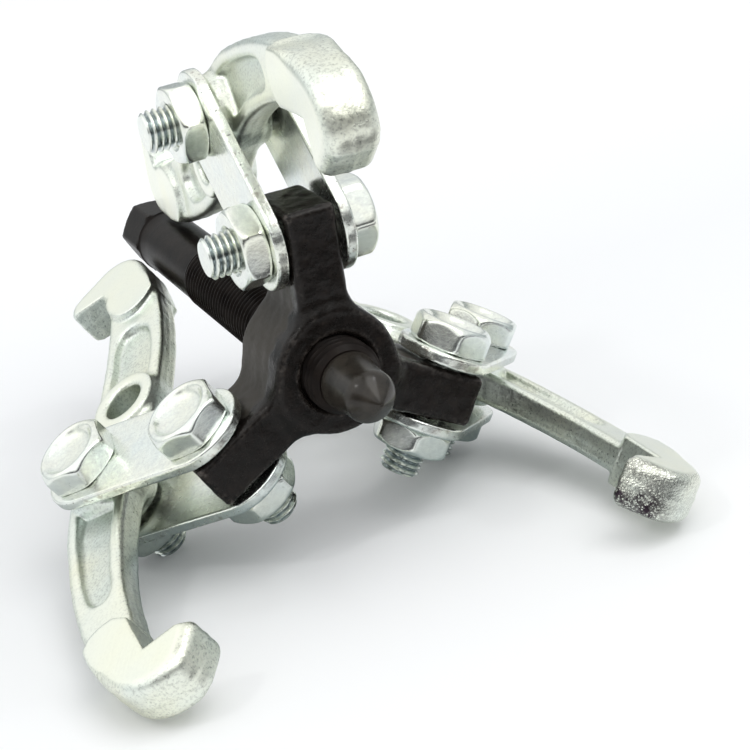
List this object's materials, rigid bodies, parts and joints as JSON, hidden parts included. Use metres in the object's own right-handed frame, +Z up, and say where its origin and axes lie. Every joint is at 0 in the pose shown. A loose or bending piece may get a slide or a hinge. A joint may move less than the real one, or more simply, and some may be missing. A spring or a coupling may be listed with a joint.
{
  "type": "gear puller",
  "caption": "Reversible jaw gear puller lying on its side: cast yoke with a hex-headed forcing screw and jaws hung on pairs of straps, each with a large and a small hook.",
  "frame": {"origin": "middle of the bounding box, on the surface the puller lies on", "axes": "+Z up, the forcing screw's axis along Y in the upright plane, its point towards -Y and 2.25 degrees down, the upper jaw above the screw, +X to the right seen from the point's end"},
  "size_m": [0.1171, 0.1454, 0.1016],
  "materials": {
    "yoke": "black oxide over cast steel, oily gloss",
    "forcing_screw": "dark brown-black oxide, oiled thread",
    "screw_point": "turned and hardened, dark, semi-polished",
    "top_strap_head_side": "bright zinc, drawn grain along the strap, sheared edges",
    "top_strap_nut_side": "bright zinc, drawn grain along the strap, sheared edges",
    "top_yoke_bolt": "bright zinc, rolled thread",
    "top_yoke_nut": "bright zinc, chamfered both sides",
    "top_jaw_bolt": "bright zinc, rolled thread",
    "top_jaw_nut": "bright zinc, chamfered both sides",
    "top_jaw": "bright zinc over forged steel, milled flat on the sides",
    "left_strap_head_side": "bright zinc, drawn grain along the strap, sheared edges",
    "left_strap_nut_side": "bright zinc, drawn grain along the strap, sheared edges",
    "left_yoke_bolt": "bright zinc, rolled thread",
    "left_yoke_nut": "bright zinc, chamfered both sides",
    "left_jaw_bolt": "bright zinc, rolled thread",
    "left_jaw_nut": "bright zinc, chamfered both sides",
    "left_jaw": "bright zinc over forged steel, milled flat on the sides",
    "right_strap_head_side": "bright zinc, drawn grain along the strap, sheared edges",
    "right_strap_nut_side": "bright zinc, drawn grain along the strap, sheared edges",
    "right_yoke_bolt": "bright zinc, rolled thread",
    "right_yoke_nut": "bright zinc, chamfered both sides",
    "right_jaw_bolt": "bright zinc, rolled thread",
    "right_jaw_nut": "bright zinc, chamfered both sides",
    "right_jaw": "bright zinc over forged steel, milled flat on the sides"
  },
  "bodies": {
    "yoke": {"yoke": "yoke"},
    "pressure_point": {"screw_point": "screw_point"},
    "forcing_screw": {"forcing_screw": "forcing_screw"},
    "top_link": {"top_strap_head_side": "top_strap_head_side", "top_strap_nut_side": "top_strap_nut_side", "top_yoke_bolt": "top_yoke_bolt", "top_yoke_nut": "top_yoke_nut", "top_jaw_bolt": "top_jaw_bolt", "top_jaw_nut": "top_jaw_nut"},
    "top_jaw": {"top_jaw": "top_jaw"},
    "left_link": {"left_strap_head_side": "left_strap_head_side", "left_strap_nut_side": "left_strap_nut_side", "left_yoke_bolt": "left_yoke_bolt", "left_yoke_nut": "left_yoke_nut", "left_jaw_bolt": "left_jaw_bolt", "left_jaw_nut": "left_jaw_nut"},
    "left_jaw": {"left_jaw": "left_jaw"},
    "right_link": {"right_strap_head_side": "right_strap_head_side", "right_strap_nut_side": "right_strap_nut_side", "right_yoke_bolt": "right_yoke_bolt", "right_yoke_nut": "right_yoke_nut", "right_jaw_bolt": "right_jaw_bolt", "right_jaw_nut": "right_jaw_nut"},
    "right_jaw": {"right_jaw": "right_jaw"}
  },
  "joints": [
    {"name": "screw_feed", "type": "slide", "parent": "yoke", "child": "pressure_point", "axis": [0, -0.9992, -0.0393], "range_m": [-0.0122, 0.0466]},
    {"name": "screw_turn", "type": "hinge", "parent": "pressure_point", "child": "forcing_screw", "pos_m": [0.00106, -0.02613, 0.03857], "axis": [0, -0.9992, -0.0393], "range_deg": [-2938, 11194]},
    {"name": "top_link_swing", "type": "hinge", "parent": "yoke", "child": "top_link", "pos_m": [0.00128, -0.02711, 0.06345], "axis": [0.9999, -0.0013, 0.0136], "range_deg": [0, 22]},
    {"name": "top_jaw_swing", "type": "hinge", "parent": "top_link", "child": "top_jaw", "pos_m": [0.00104, -0.00607, 0.08297], "axis": [0.9999, -0.0013, 0.0136], "range_deg": [0, 24]},
    {"name": "left_link_swing", "type": "hinge", "parent": "yoke", "child": "left_link", "pos_m": [-0.02061, -0.02565, 0.02632], "axis": [-0.5182, -0.0426, 0.8542], "range_deg": [0, 22]},
    {"name": "left_jaw_swing", "type": "hinge", "parent": "left_link", "child": "left_jaw", "pos_m": [-0.03757, -0.00442, 0.01709], "axis": [-0.5182, -0.0426, 0.8542], "range_deg": [0, 24]},
    {"name": "right_link_swing", "type": "hinge", "parent": "yoke", "child": "right_link", "pos_m": [0.02252, -0.02564, 0.02594], "axis": [-0.5295, 0.0516, -0.8468], "range_deg": [0, 22]},
    {"name": "right_jaw_swing", "type": "hinge", "parent": "right_link", "child": "right_jaw", "pos_m": [0.03895, -0.00387, 0.017], "axis": [-0.5295, 0.0516, -0.8468], "range_deg": [0, 24]}
  ],
  "couplings": [
    {"joint": "screw_turn", "follows": "screw_feed", "rad_per_m": 4188.8}
  ]
}
